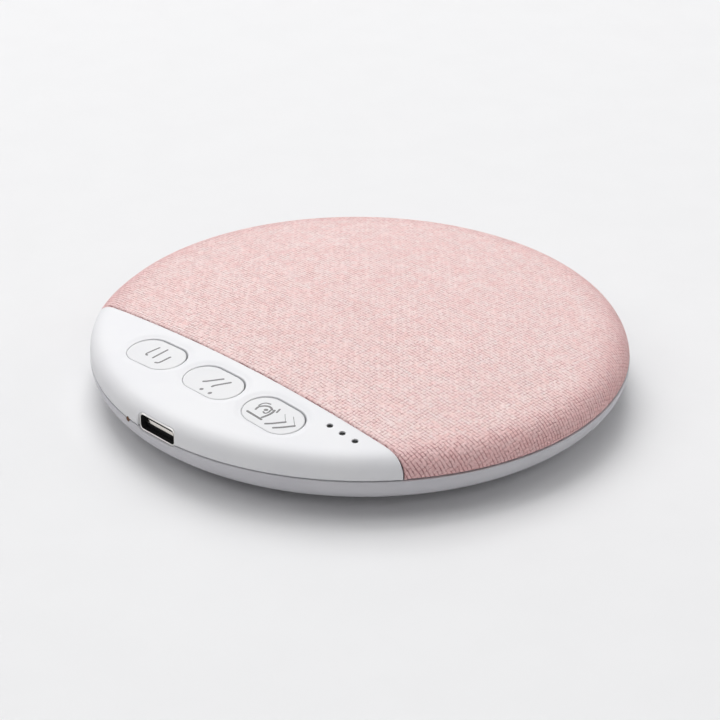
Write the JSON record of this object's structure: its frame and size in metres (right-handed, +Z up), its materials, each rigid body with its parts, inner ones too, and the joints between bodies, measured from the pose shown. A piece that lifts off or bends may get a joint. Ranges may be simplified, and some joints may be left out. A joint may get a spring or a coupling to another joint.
{
  "type": "pillow speaker",
  "caption": "Flat round loudspeaker with a domed cloth top, a bare control panel with push keys and a charging port, to lie beside or under a pillow.",
  "frame": {"origin": "centre of the face that it stands on", "axes": "+Z up through the dome, -Y towards the control panel and the charging port, +X along the row of keys"},
  "size_m": [0.1, 0.0999, 0.0153],
  "materials": {
    "white_plastic": "fine satin moulding",
    "key_plastic": "fine satin moulding with printed marks",
    "pink_cloth": "plain woven melange cloth",
    "dark_plastic": "moulded",
    "foot_rubber": "soft silicone",
    "screw_steel": "plated",
    "board_laminate": "solder mask",
    "chip_black": "moulded",
    "lamp_ivory": "clear over ivory",
    "black_rubber": "matt",
    "port_steel": "satin nickel plate",
    "port_insulator": "moulded",
    "contact_gold": "plated",
    "battery_foil": "foil pouch",
    "pad_foam": "foam",
    "lead_jacket": "wire jacket",
    "driver_steel": "plated",
    "coil_copper": "enamelled wire",
    "cone_paper": "pressed fibre"
  },
  "bodies": {
    "case": {"bottom_shell": "white_plastic", "top_shell": "white_plastic", "grille_plate": "dark_plastic", "cloth_cover": "pink_cloth", "foot_ring": "foot_rubber", "case_screws": "screw_steel", "switch_left": "dark_plastic", "switch_middle": "dark_plastic", "switch_right": "dark_plastic", "main_board": "board_laminate", "board_screws": "screw_steel", "board_chips": "chip_black", "status_leds": "lamp_ivory", "charge_led": "lamp_ivory", "light_baffle": "black_rubber", "usb_shell": "port_steel", "usb_tongue": "port_insulator", "usb_contacts": "contact_gold", "battery_cell": "battery_foil", "battery_pad": "pad_foam", "battery_leads": "lead_jacket", "driver_frame": "dark_plastic", "driver_terminal": "board_laminate", "driver_yoke": "driver_steel", "driver_magnet": "driver_steel", "driver_plate": "driver_steel", "driver_surround": "black_rubber", "driver_gasket": "pad_foam", "driver_leads": "lead_jacket"},
    "left_key": {"key_left": "key_plastic", "plunger_left": "chip_black"},
    "middle_key": {"key_middle": "key_plastic", "plunger_middle": "chip_black"},
    "right_key": {"key_right": "key_plastic", "plunger_right": "chip_black"},
    "cone": {"voice_coil": "coil_copper", "driver_cone": "cone_paper", "dust_cap": "cone_paper"}
  },
  "joints": [
    {"name": "left_key_press", "type": "slide", "parent": "case", "child": "left_key", "axis": [0, 0, -1], "range_m": [0, 0.0003], "stiffness_N_per_m": 2000, "springref_m": -0.0002},
    {"name": "middle_key_press", "type": "slide", "parent": "case", "child": "middle_key", "axis": [0, 0, -1], "range_m": [0, 0.0003], "stiffness_N_per_m": 2000, "springref_m": -0.0002},
    {"name": "right_key_press", "type": "slide", "parent": "case", "child": "right_key", "axis": [0, 0, -1], "range_m": [0, 0.0003], "stiffness_N_per_m": 2000, "springref_m": -0.0002},
    {"name": "cone_stroke", "type": "slide", "parent": "case", "child": "cone", "axis": [0, 0, 1], "range_m": [-0.0006, 0.0006], "stiffness_N_per_m": 800, "deforming": ["driver_surround"]}
  ]
}
